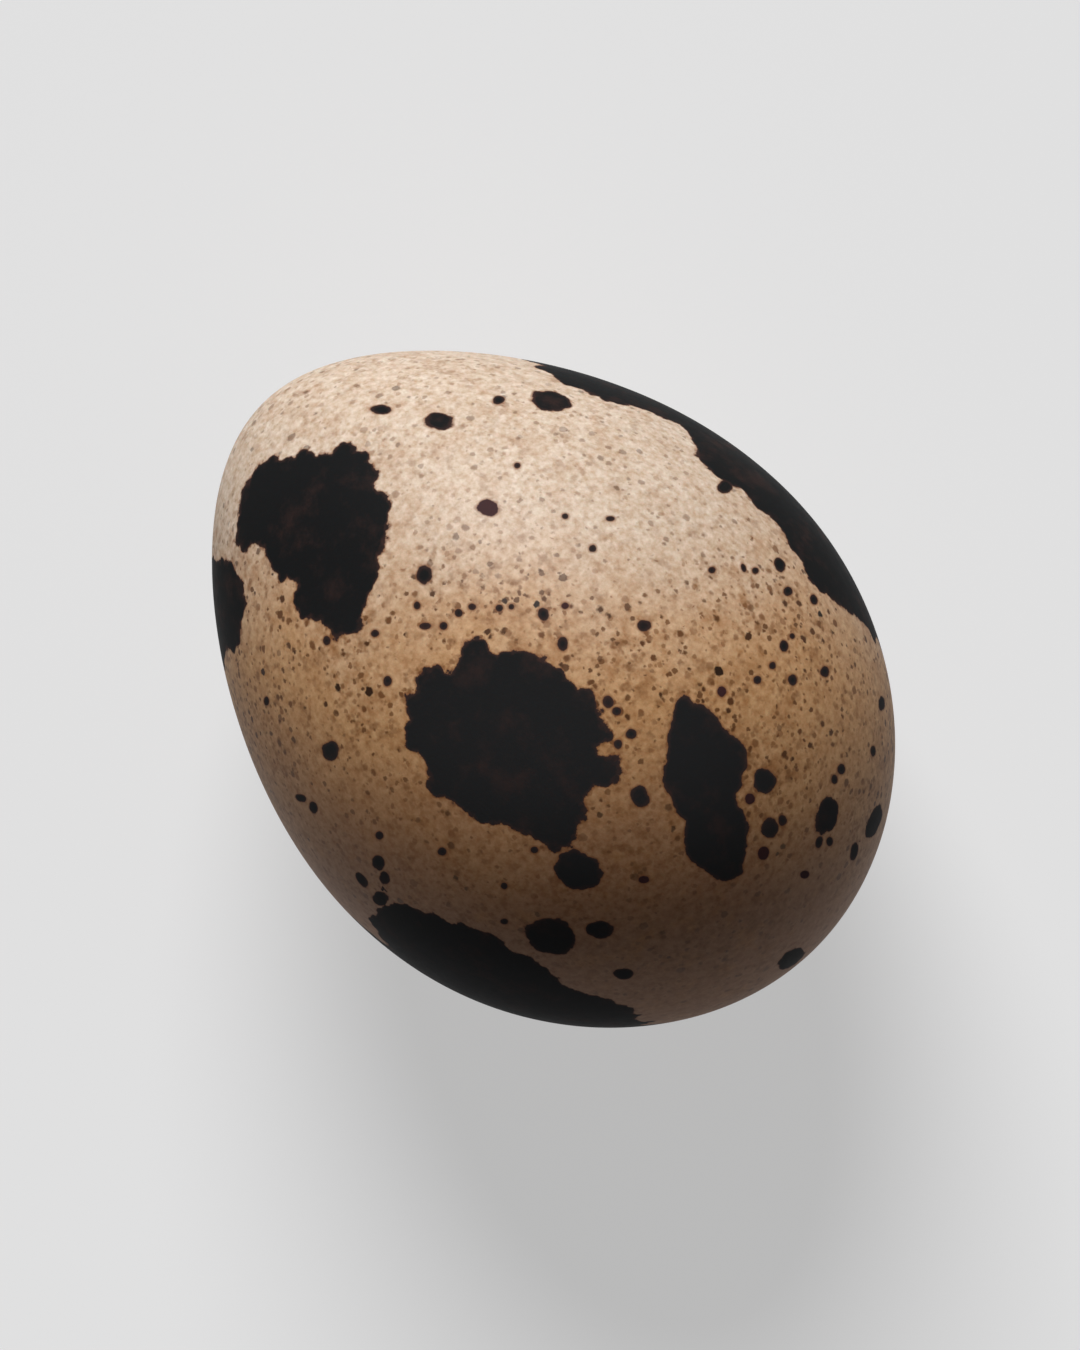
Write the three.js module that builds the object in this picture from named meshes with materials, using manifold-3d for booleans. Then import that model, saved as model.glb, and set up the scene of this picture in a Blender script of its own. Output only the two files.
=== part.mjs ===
// A quail egg, grown as one piece, lying on its side on the small flat spot that it rests on.
//
// Millimetres, +Z up. The origin is the middle of the rest spot, under the widest girth, and +X
// runs along the egg toward its pointed end. The surface that the egg lies on is the plane Z = 0.

import * as THREE from 'three';
import { mergeVertices } from 'three/addons/utils/BufferGeometryUtils.js';
import Module from 'manifold-3d';

// Driving dimensions.
const EGG_LENGTH = 33.1; // from the blunt end to the pointed end
const EGG_WIDTH = 26; // diameter of the widest girth
const REST_SPOT_WIDTH = 4; // of the flat, measured across the egg

// Shape of the outline: 0 for both would give an ellipse.
const TAPER = -0.133; // below 0, the +X half is slimmer than the other
const END_DRAW_IN = -0.096; // below 0, both ends are drawn in

// Fineness of the facets.
const SEGMENTS_ROUND = 64;
const RINGS_TO_BLUNT_END = 22; // from the widest girth
const RINGS_TO_POINTED_END = 24; // from the widest girth

const SHELL_FINISH = { color: 0xcbb592, roughness: 0.45, metalness: 0 };

const wasm = await Module();
wasm.setup();

/** The outline's radius before scaling, at an angle from -90 degrees (blunt end) to 90 degrees. */
function outlineRadius(angle) {
  const along = Math.sin(angle);
  return Math.cos(angle) * (1 + TAPER * along + END_DRAW_IN * along ** 2);
}

/** The angle of the widest girth, where the outline's slope is zero, found by Newton's method. */
function widestAngle() {
  const steps = 12;
  let along = 0;
  for (let step = 0; step < steps; step += 1) {
    const slope = TAPER + (2 * END_DRAW_IN - 1) * along
      - 2 * TAPER * along ** 2 - 3 * END_DRAW_IN * along ** 3;
    const bend = (2 * END_DRAW_IN - 1) - 4 * TAPER * along - 9 * END_DRAW_IN * along ** 2;
    along -= slope / bend;
  }
  return Math.asin(along);
}

/** Angles in even steps, without the last one. */
function stepsBetween(from, to, count) {
  return Array.from({ length: count }, (_, step) => from + ((to - from) * step) / count);
}

/** The egg's outline from end to end, as (radius, distance along) with the widest girth at 0. */
function outline() {
  const widest = widestAngle();
  const radiusScale = EGG_WIDTH / 2 / outlineRadius(widest);
  const alongScale = EGG_LENGTH / 2;
  const distance = (angle) => alongScale * (Math.sin(angle) - Math.sin(widest));
  const angles = [
    ...stepsBetween(-Math.PI / 2, widest, RINGS_TO_BLUNT_END),
    ...stepsBetween(widest, Math.PI / 2, RINGS_TO_POINTED_END),
  ];
  const flank = angles.slice(1).map(
    (angle) => new THREE.Vector2(radiusScale * outlineRadius(angle), distance(angle)),
  );
  const bluntEnd = new THREE.Vector2(0, distance(-Math.PI / 2));
  const pointedEnd = new THREE.Vector2(0, distance(Math.PI / 2));
  return [bluntEnd, ...flank, pointedEnd];
}

/** A closed geometry as a solid that can be cut. Triangles with no area, at the ends, are left out. */
function solidFrom(geometry) {
  geometry.deleteAttribute('normal');
  geometry.deleteAttribute('uv');
  const merged = mergeVertices(geometry);
  const corners = merged.index.array;
  const triangles = [];
  for (let first = 0; first < corners.length; first += 3) {
    const triangle = corners.slice(first, first + 3);
    if (new Set(triangle).size === 3) triangles.push(...triangle);
  }
  return new wasm.Manifold(new wasm.Mesh({
    numProp: 3,
    vertProperties: new Float32Array(merged.attributes.position.array),
    triVerts: new Uint32Array(triangles),
  }));
}

/** A solid's surface as a geometry with flat facets. */
function geometryFrom(solid) {
  const surface = solid.getMesh();
  const geometry = new THREE.BufferGeometry();
  geometry.setAttribute('position', new THREE.BufferAttribute(surface.vertProperties, 3));
  geometry.setIndex(new THREE.BufferAttribute(surface.triVerts, 1));
  geometry.computeVertexNormals();
  return geometry;
}

/** How far the girth's circle reaches below a flat of the rest spot's width. */
function restSpotDepth() {
  const radius = EGG_WIDTH / 2;
  return radius - Math.sqrt(radius ** 2 - (REST_SPOT_WIDTH / 2) ** 2);
}

/** The whole egg, turned about its length, with its long axis level and its rest spot at Z = 0. */
function eggSolid() {
  const turned = new THREE.LatheGeometry(outline(), SEGMENTS_ROUND);
  turned.rotateZ(-Math.PI / 2);
  turned.translate(0, 0, EGG_WIDTH / 2 - restSpotDepth());
  return solidFrom(turned);
}

/** A block below Z = 0 that takes away what would reach under the rest spot. */
function restSpotCutter() {
  const height = EGG_WIDTH;
  const block = new THREE.BoxGeometry(2 * EGG_LENGTH, 2 * EGG_WIDTH, height);
  block.translate(0, 0, -height / 2);
  return solidFrom(block);
}

const quailEgg = new THREE.Mesh(
  geometryFrom(eggSolid().subtract(restSpotCutter())),
  new THREE.MeshStandardMaterial(SHELL_FINISH),
);
quailEgg.name = 'quail_egg';

const part = new THREE.Group();
part.add(quailEgg);

export default part;
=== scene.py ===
"""A quail egg with dark blotches, lying on its side on a pale studio floor.

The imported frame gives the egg's place and size. Its shell is one mesh, grown by a Geometry Nodes
tree from the outline's rule, with a small flat where it rests. Its markings are drawn in
millimetres on two charts: a level sheet over the egg, whose markings drop straight onto the upper
half, and a roll that wraps round the whole egg. The shell keeps their distance from each of its
points as attributes. Its material turns those into ragged pigment, and adds freckles, grain and
pores.

Lengths are in millimetres, unless a name ends in _m. The egg's long axis is X, with the pointed
end toward +X, and Z is up.
"""

import logging
import math
from abc import ABC, abstractmethod
from dataclasses import dataclass, field
from enum import Enum
from functools import reduce
from typing import Any, Iterable, Sequence

import bpy
import numpy as np
from mathutils import Matrix, Vector


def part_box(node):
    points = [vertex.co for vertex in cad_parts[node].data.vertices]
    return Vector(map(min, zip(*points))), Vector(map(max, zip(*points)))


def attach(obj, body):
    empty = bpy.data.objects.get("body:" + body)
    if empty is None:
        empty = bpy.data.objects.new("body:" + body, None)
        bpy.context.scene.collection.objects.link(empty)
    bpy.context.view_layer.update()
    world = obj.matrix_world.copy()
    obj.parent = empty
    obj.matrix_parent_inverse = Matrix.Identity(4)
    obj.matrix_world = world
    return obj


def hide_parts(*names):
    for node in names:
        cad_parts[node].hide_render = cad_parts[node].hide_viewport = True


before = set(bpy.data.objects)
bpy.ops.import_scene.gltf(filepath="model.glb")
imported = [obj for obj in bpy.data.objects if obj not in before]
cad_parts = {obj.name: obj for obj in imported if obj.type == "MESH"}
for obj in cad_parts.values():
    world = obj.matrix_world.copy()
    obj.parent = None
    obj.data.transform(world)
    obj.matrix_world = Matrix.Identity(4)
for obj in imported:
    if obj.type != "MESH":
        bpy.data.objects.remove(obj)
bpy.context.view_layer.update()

MM = 0.001
NODE = "quail_egg"
# The level sheet's right and up are turned this far from X and Y. The camera is turned with it.
SHEET_TURN = math.radians(224.1)

log = logging.getLogger("quail_egg")

Colour = tuple[float, float, float]
Point = tuple[float, float]


class View(Enum):
    """The way that a marking is drawn."""

    FROM_ABOVE = "right and up on a level sheet over the middle of the egg"
    ROLLED_OUT = "along the egg, and round it from its underside toward +Y"


class Tone(Enum):
    """The colour of a spot."""

    BLACK = "black"
    UMBER = "umber"


@dataclass(frozen=True)
class SpotLayer:
    """The names of what the mesh keeps about spots of one layer, which lie well apart."""

    tone: Tone
    number: int

    @property
    def place(self) -> str:
        """Names a point's place on the nearest spot: across, along, and the spot's mean radius."""
        return f"{self.tone.value}_{self.number}_place"

    @property
    def gap(self) -> str:
        """Names the gap to the nearest spot's rim."""
        return f"{self.tone.value}_{self.number}_gap"


SPOT_LAYERS = tuple(SpotLayer(Tone.BLACK, n) for n in range(4)) + (SpotLayer(Tone.UMBER, 0),)
BAKE_MAP = "OFBake"  # the name of the shell's UV map, for baking its textures
PATCH_EDGE = "patch_edge"
PATCH_RAGGEDNESS = "patch_raggedness"


# ---------------------------------------------------------------------------------------------
# Node building
# ---------------------------------------------------------------------------------------------


class Graph:
    """Adds nodes to a node tree and links them."""

    def __init__(self, tree: bpy.types.NodeTree) -> None:
        """Starts with an empty tree.

        Args:
            tree: The shader or geometry tree to fill. Its nodes are removed first.
        """
        self.tree = tree
        tree.nodes.clear()

    def node(
        self, kind: str, inputs: dict[Any, Any] | None = None, **settings: Any
    ) -> bpy.types.Node:
        """Adds one node.

        Args:
            kind: The node's type, such as ShaderNodeMath.
            inputs: A value or a socket for each input, by the input's name or number.
            **settings: The node's own properties.

        Returns:
            The new node.
        """
        made = self.tree.nodes.new(kind)
        for name, value in settings.items():
            setattr(made, name, value)
        for key, value in (inputs or {}).items():
            self.feed(made.inputs[key], value)
        return made

    def feed(self, socket: bpy.types.NodeSocket, value: Any) -> None:
        """Links a socket into an input, or sets the input's own value."""
        if isinstance(value, bpy.types.NodeSocket):
            self.tree.links.new(value, socket)
        else:
            socket.default_value = value

    def math(self, operation: str, a: Any, b: Any = 0.0, c: Any = 0.0) -> bpy.types.NodeSocket:
        """The result of a Math node."""
        inputs = {0: a, 1: b, 2: c}
        return self.node("ShaderNodeMath", inputs, operation=operation).outputs[0]

    def vector_math(self, operation: str, a: Any, b: Any = (0.0, 0.0, 0.0)) -> bpy.types.NodeSocket:
        """The vector result of a Vector Math node."""
        inputs = {0: a, 1: b}
        return self.node("ShaderNodeVectorMath", inputs, operation=operation).outputs[0]

    def scaled(self, vector: Any, factor: Any) -> bpy.types.NodeSocket:
        """A vector times a number."""
        inputs = {0: vector, "Scale": factor}
        return self.node("ShaderNodeVectorMath", inputs, operation="SCALE").outputs[0]

    def ramp(
        self, value: Any, start: Any, end: Any, low: Any = 0.0, high: Any = 1.0
    ) -> bpy.types.NodeSocket:
        """A smooth step from low to high as a value goes from start to end."""
        inputs = {"Value": value, "From Min": start, "From Max": end, "To Min": low, "To Max": high}
        made = self.node("ShaderNodeMapRange", inputs, interpolation_type="SMOOTHSTEP")
        return made.outputs[0]

    def attribute(self, name: str, output: str = "Fac") -> bpy.types.NodeSocket:
        """A value that the mesh keeps at each point."""
        return self.node("ShaderNodeAttribute", attribute_name=name).outputs[output]

    def noise(
        self, vector: Any, size: float, detail: float = 2.0, roughness: float = 0.5
    ) -> bpy.types.Node:
        """A Noise Texture, with the size of its largest features in the vector's unit."""
        inputs = {"Vector": vector, "Scale": 1.0 / size, "Detail": detail, "Roughness": roughness}
        return self.node("ShaderNodeTexNoise", inputs)

    def wander(self, *given: Any) -> bpy.types.NodeSocket:
        """A noise's value, moved so that it varies above and below zero."""
        return self.math("SUBTRACT", self.noise(*given).outputs[0], 0.5)

    def mix(self, factor: Any, a: Any, b: Any) -> bpy.types.NodeSocket:
        """Two colours mixed. A plain colour is given as three numbers."""
        made = self.node("ShaderNodeMix", data_type="RGBA")
        by_name = {"Factor": made.inputs[0], "A": made.inputs[6], "B": made.inputs[7]}
        for name, value in (("Factor", factor), ("A", a), ("B", b)):
            is_colour = isinstance(value, tuple)
            self.feed(by_name[name], (*value, 1.0) if is_colour else value)
        return made.outputs[2]


class ShaderGroup:
    """A shader node group with named inputs and outputs, built once."""

    def __init__(self, name: str, inputs: dict[str, str], outputs: dict[str, str]) -> None:
        """Makes the group's tree and its sockets.

        Args:
            name: The group's name.
            inputs: Each input's name and kind of socket, such as Float or Vector.
            outputs: Each output's name and kind of socket.
        """
        self.tree = bpy.data.node_groups.new(name, "ShaderNodeTree")
        for direction, sockets in (("INPUT", inputs), ("OUTPUT", outputs)):
            for label, kind in sockets.items():
                self.tree.interface.new_socket(
                    label, in_out=direction, socket_type="NodeSocket" + kind
                )
        self.graph = Graph(self.tree)
        self.given = self.graph.node("NodeGroupInput").outputs
        self._results = self.graph.node("NodeGroupOutput")

    def result(self, name: str, value: bpy.types.NodeSocket) -> None:
        """Puts a socket out of the group."""
        self.graph.feed(self._results.inputs[name], value)

    def use(self, graph: Graph, **inputs: Any) -> Any:
        """Places the group in a tree.

        Args:
            graph: The tree that the group goes in.
            **inputs: A value or socket for each of the group's inputs.

        Returns:
            The placed group's outputs.
        """
        named = {name.replace("_", " "): value for name, value in inputs.items()}
        made = graph.tree.nodes.new("ShaderNodeGroup")
        made.node_tree = self.tree
        for name, value in named.items():
            graph.feed(made.inputs[name], value)
        return made.outputs


# ---------------------------------------------------------------------------------------------
# The egg's shape
# ---------------------------------------------------------------------------------------------


@dataclass(frozen=True)
class EggShape:
    """The rule that the egg's outline follows, and where the egg lies.

    A station along the egg goes from -1 at the blunt end to 1 at the pointed end.
    """

    length: float
    width: float
    middle_x: float
    axis_height: float
    taper: float = -0.133
    end_draw_in: float = -0.096

    @classmethod
    def from_box(cls, low: Vector, high: Vector) -> "EggShape":
        """The egg that fills a box, apart from the flat that it rests on.

        Args:
            low: The box's lowest corner, in metres.
            high: The box's highest corner, in metres.

        Returns:
            The egg's shape, in millimetres.
        """
        size = (high - low) / MM
        return cls(
            length=size.x,
            width=size.y,
            middle_x=(low.x + high.x) / 2 / MM,
            axis_height=high.z / MM - size.y / 2,
        )

    def fullness(self, station: Any) -> Any:
        """How far the outline is from an ellipse's at a station, as a factor."""
        return 1 + self.taper * station + self.end_draw_in * station**2

    def radius_scale(self) -> float:
        """The radius, in millimetres, that the rule's number 1 stands for."""
        stations = np.linspace(-0.5, 0.5, 2001)
        widest = (np.sqrt(1 - stations**2) * self.fullness(stations)).max()
        return self.width / 2 / float(widest)

    def radius(self, x: np.ndarray) -> np.ndarray:
        """The outline's radius along the egg, or 0 past its ends."""
        station = np.clip((x - self.middle_x) / (self.length / 2), -1, 1)
        return self.radius_scale() * np.sqrt(1 - station**2) * self.fullness(station)


# ---------------------------------------------------------------------------------------------
# Markings
# ---------------------------------------------------------------------------------------------


@dataclass(frozen=True)
class Chart(ABC):
    """A flat chart that markings are drawn on, in millimetres, and how it lies on the shell."""

    shape: EggShape
    step: float = 0.12  # the length of an outline's short pieces
    nudge: float = 0.02  # how far apart points are that show which way the chart runs
    pull: float = 0.995  # how a place that misses the egg is moved inward, again and again

    @abstractmethod
    def flatten(self, points: np.ndarray) -> np.ndarray:
        """Where points of the shell are on the chart, or not a number where it doesn't reach."""

    @abstractmethod
    def lift(self, places: np.ndarray) -> np.ndarray:
        """Where places on the chart are on the shell, or not a number where they miss it."""

    def lift_outline(self, outline: np.ndarray) -> np.ndarray:
        """Lays a closed outline on the shell.

        Args:
            outline: The outline's corners on the chart.

        Returns:
            Each short piece of the outline, as its two ends. Pieces that miss the shell are
            left out.
        """
        runs = []
        for start, end in zip(outline, np.roll(outline, -1, axis=0)):
            count = max(1, math.ceil(np.linalg.norm(end - start) / self.step))
            spots = self.lift(start + (end - start) * np.linspace(0, 1, count + 1)[:, None])
            runs.append(np.stack([spots[:-1], spots[1:]], axis=1))
        pieces = np.concatenate(runs)
        return pieces[~np.isnan(pieces).any(axis=(1, 2))]

    def touch_plane(self, place: Point) -> tuple[np.ndarray, np.ndarray]:
        """The shell's point at a place on the chart, and the two ways that the chart runs there.

        Args:
            place: A place on the chart. One that just misses the egg is moved inward.

        Returns:
            The point, and how far it moves for a millimetre of each of the chart's two ways.
        """
        around = self.nudge * np.array([[0, 0], [1, 0], [-1, 0], [0, 1], [0, -1]])
        middle = np.array(place)
        while np.isnan(spots := self.lift(middle + around)).any():
            middle = middle * self.pull
        return spots[0], np.array([spots[1] - spots[2], spots[3] - spots[4]]) / (2 * self.nudge)


class PlanChart(Chart):
    """The egg's upper half, drawn as it is seen from above."""

    def flatten(self, points: np.ndarray) -> np.ndarray:
        """Right and up, for points of the upper half."""
        c, s = math.cos(SHEET_TURN), math.sin(SHEET_TURN)
        places = (points[:, :2] - (self.shape.middle_x, 0.0)) @ np.array([[c, -s], [s, c]])
        return np.where(points[:, 2:] > self.shape.axis_height, places, np.nan)

    def lift(self, places: np.ndarray) -> np.ndarray:
        """Raises places straight up to the shell."""
        c, s = math.cos(SHEET_TURN), math.sin(SHEET_TURN)
        plan = places @ np.array([[c, s], [-s, c]]) + (self.shape.middle_x, 0.0)
        square = self.shape.radius(plan[:, 0]) ** 2 - plan[:, 1] ** 2
        rise = np.sqrt(np.where(square > 0, square, np.nan))
        return np.column_stack([plan, self.shape.axis_height + rise])


class RollChart(Chart):
    """The whole shell rolled out about its long axis, with the underside in the middle."""

    def flatten(self, points: np.ndarray) -> np.ndarray:
        """Where points are along the egg and round it, in millimetres at its widest girth."""
        turn = np.arctan2(points[:, 1], self.shape.axis_height - points[:, 2])
        return np.column_stack([points[:, 0], turn * self.shape.width / 2])

    def lift(self, places: np.ndarray) -> np.ndarray:
        """Wraps places round the shell."""
        radius = self.shape.radius(places[:, 0])
        turn = places[:, 1] / (self.shape.width / 2)
        height = self.shape.axis_height - radius * np.cos(turn)
        return np.column_stack([places[:, 0], radius * np.sin(turn), height])


def inside_outline(points: np.ndarray, outline: np.ndarray) -> np.ndarray:
    """Tells which points lie inside a closed outline, by counting the sides to one side of them."""
    x, y = points[:, 0], points[:, 1]
    inside = np.zeros(len(points), bool)
    for (x0, y0), (x1, y1) in zip(outline, np.roll(outline, -1, axis=0)):
        if y0 == y1:
            continue
        crosses = (y0 > y) != (y1 > y)
        inside ^= crosses & (x < x0 + (y - y0) * (x1 - x0) / (y1 - y0))
    return inside


def distance_to_pieces(points: np.ndarray, pieces: np.ndarray) -> np.ndarray:
    """The distance from each point to the nearest of some straight pieces."""
    nearest = np.full(len(points), np.inf)
    for start, end in pieces:
        along = end - start
        share = np.clip((points - start) @ along / max(along @ along, 1e-12), 0, 1)
        gap = np.linalg.norm(points - (start + share[:, None] * along), axis=1)
        nearest = np.minimum(nearest, gap)
    return nearest


@dataclass(frozen=True)
class Blotch:
    """A patch of pigment with an outline of its own, drawn as corners."""

    name: str
    outline: tuple[Point, ...]
    view: View = View.FROM_ABOVE
    raggedness: float = 1.0


@dataclass(frozen=True)
class Spot:
    """A small round or oval patch of pigment: its middle, its size and how far it is turned."""

    across: float
    up: float
    width: float
    height: float
    turn_deg: float = 0.0
    tone: Tone = Tone.BLACK
    view: View = View.FROM_ABOVE


BLOTCHES = (
    Blotch(
        "pointed_end_patch",
        outline=(
            (-11.9, 9.0), (-11.0, 9.3), (-10.9, 9.05), (-10.1, 9.5), (-9.4, 9.3), (-8.8, 9.45),
            (-8.0, 9.9), (-7.7, 9.5), (-7.35, 9.4), (-7.1, 8.9), (-6.75, 8.6), (-6.8, 8.2),
            (-6.95, 7.8), (-6.3, 7.55), (-6.2, 7.1), (-6.4, 6.5), (-6.4, 5.7), (-6.75, 4.8),
            (-6.7, 4.2), (-7.0, 3.7), (-7.2, 3.0), (-7.4, 2.6), (-7.5, 1.7), (-8.2, 1.65),
            (-8.5, 1.4), (-8.8, 1.7), (-9.1, 2.3), (-10.1, 2.3), (-10.35, 3.1), (-10.3, 4.05),
            (-10.9, 3.95), (-11.4, 4.6), (-11.9, 5.6), (-12.2, 5.6), (-12.4, 5.1), (-13.0, 5.7),
            (-12.8, 6.0), (-12.8, 7.3), (-12.4, 8.3),
        ),
        raggedness=1.2,
    ),
    Blotch(
        "pointed_end_side_patch",
        outline=(
            (-14.6, 4.9), (-13.1, 4.85), (-12.8, 4.3), (-12.5, 3.8), (-12.4, 3.0), (-12.6, 2.1),
            (-12.75, 1.3), (-12.95, 0.85), (-13.3, 1.1), (-14.6, 1.2),
        ),
    ),
    Blotch(
        "middle_patch",
        outline=(
            (-2.8, 1.6), (-2.3, 1.55), (-2.05, 1.0), (-1.75, 0.9), (-1.0, 1.1), (-0.4, 1.0),
            (0.0, 0.9), (0.4, 0.5), (0.85, 0.4), (1.05, -0.1), (1.6, -0.4), (1.95, -0.6),
            (2.35, -0.85), (2.45, -1.3), (2.6, -1.6), (2.7, -2.1), (3.0, -2.2), (3.1, -2.5),
            (2.7, -2.85), (2.3, -3.0), (2.4, -3.3), (3.3, -3.4), (3.5, -3.85), (3.35, -4.3),
            (3.05, -4.5), (2.15, -4.8), (1.95, -5.3), (1.85, -5.9), (1.55, -6.7), (1.3, -7.15),
            (0.7, -7.35), (0.2, -7.3), (-0.45, -6.7), (-1.4, -6.3), (-2.6, -6.15), (-3.8, -5.4),
            (-4.7, -4.8),
            (-4.65, -4.5), (-4.8, -3.7), (-5.1, -3.4), (-5.7, -2.95), (-5.5, -1.8), (-5.7, -1.1),
            (-5.15, -0.45), (-5.3, 0.0), (-4.5, 0.4), (-4.25, 0.4), (-3.85, 0.15), (-3.5, 0.35),
            (-3.3, 1.2), (-3.0, 1.5),
        ),
        raggedness=1.2,
    ),
    Blotch(
        "two_lobed_patch",
        outline=(
            (6.0, -0.8), (6.3, -1.1), (7.0, -1.4), (7.4, -1.65), (7.7, -2.2), (7.95, -2.45),
            (8.4, -2.6), (8.65, -3.3), (8.7, -3.7), (8.5, -4.2), (8.55, -4.6), (8.2, -4.9),
            (8.15, -5.2), (8.5, -5.7), (8.8, -6.3), (8.7, -6.9), (8.6, -7.6), (8.5, -8.3),
            (8.1, -8.6), (7.6, -8.65), (7.2, -8.5), (6.6, -8.05), (6.1, -7.5), (6.0, -6.9),
            (6.1, -6.1), (5.7, -5.8), (5.5, -5.4), (5.2, -4.8), (5.1, -4.2), (5.3, -3.5),
            (5.3, -2.6), (5.5, -1.7), (5.7, -1.0),
        ),
        raggedness=0.6,
    ),
    Blotch(
        "side_streak",
        outline=(
            (0.4, 12.8), (1.1, 12.25), (2.1, 11.95), (2.6, 11.7), (3.4, 11.4), (3.9, 11.4),
            (4.5, 11.2), (5.2, 10.9), (6.0, 10.6), (6.3, 10.2), (6.6, 9.5), (6.5, 9.3),
            (7.0, 8.8), (7.6, 8.3), (8.5, 7.8), (8.9, 7.3), (9.5, 6.8), (10.1, 6.3), (10.5, 5.5),
            (11.0, 4.8), (11.3, 4.1), (11.8, 3.45), (12.1, 3.45), (12.6, 2.9), (13.2, 2.6),
            (13.9, 2.0), (16.0, 1.8), (15.0, 10.0), (8.0, 15.0), (0.4, 14.0),
        ),
    ),
    Blotch(
        "low_side_patch",
        outline=(
            (-7.3, -10.3), (-7.0, -9.9), (-6.1, -9.6), (-5.6, -9.6), (-5.1, -9.95), (-4.5, -10.0),
            (-3.8, -10.4), (-2.9, -10.55), (-1.8, -11.0), (-1.4, -11.5), (-0.6, -11.8),
            (0.0, -12.15), (0.5, -12.6), (1.2, -13.2), (2.6, -13.6), (4.0, -14.1), (4.5, -16.0),
            (-5.0, -16.0), (-6.2, -12.2), (-6.0, -12.0), (-6.7, -11.2),
        ),
    ),
    # Three of the patches above reach round the egg's sides. The next three are the rest of them.
    Blotch(
        "pointed_end_side_patch_low",
        outline=(
            (14.5, 28.0), (15.0, 26.4), (14.8, 24.8), (15.4, 23.2), (15.3, 21.5), (15.8, 19.2),
            (15.2, 16.6), (14.3, 14.4), (13.2, 15.2), (12.6, 17.2), (11.9, 18.6), (12.2, 20.4),
            (11.5, 21.8), (11.9, 23.2), (12.1, 24.4), (13.2, 25.5),
        ),
        view=View.ROLLED_OUT,
    ),
    Blotch(
        "side_streak_low",
        outline=(
            (10.2, -24.8), (11.1, -23.9), (10.9, -22.7), (11.8, -21.6), (11.2, -20.3),
            (11.6, -19.2), (10.2, -18.4), (8.9, -18.9), (8.3, -17.4), (6.9, -16.4), (5.2, -16.6),
            (4.3, -15.4), (2.4, -14.6), (0.9, -15.6), (-0.6, -15.1), (-2.0, -16.8), (-3.9, -16.9),
            (-4.7, -18.5), (-6.4, -18.8), (-7.6, -19.9), (-8.2, -21.0), (-7.3, -22.1),
            (-7.6, -23.2), (-6.6, -24.0), (-3.0, -23.6), (2.0, -24.4), (7.0, -24.0),
        ),
        view=View.ROLLED_OUT,
    ),
    Blotch(
        "low_side_patch_low",
        outline=(
            (0.2, 21.6), (1.1, 19.9), (0.3, 18.2), (-1.2, 18.0), (-2.0, 16.6), (-3.8, 16.9),
            (-5.0, 15.5), (-6.6, 15.3), (-7.6, 16.8), (-9.0, 17.4), (-9.8, 19.0), (-11.0, 19.2),
            (-12.0, 20.3), (-12.6, 21.6), (-11.6, 22.9), (-11.9, 24.3), (-11.1, 25.4),
            (-11.3, 26.6), (-9.5, 26.0), (-8.0, 24.5), (-3.5, 23.2),
        ),
        view=View.ROLLED_OUT,
    ),
)

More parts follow.
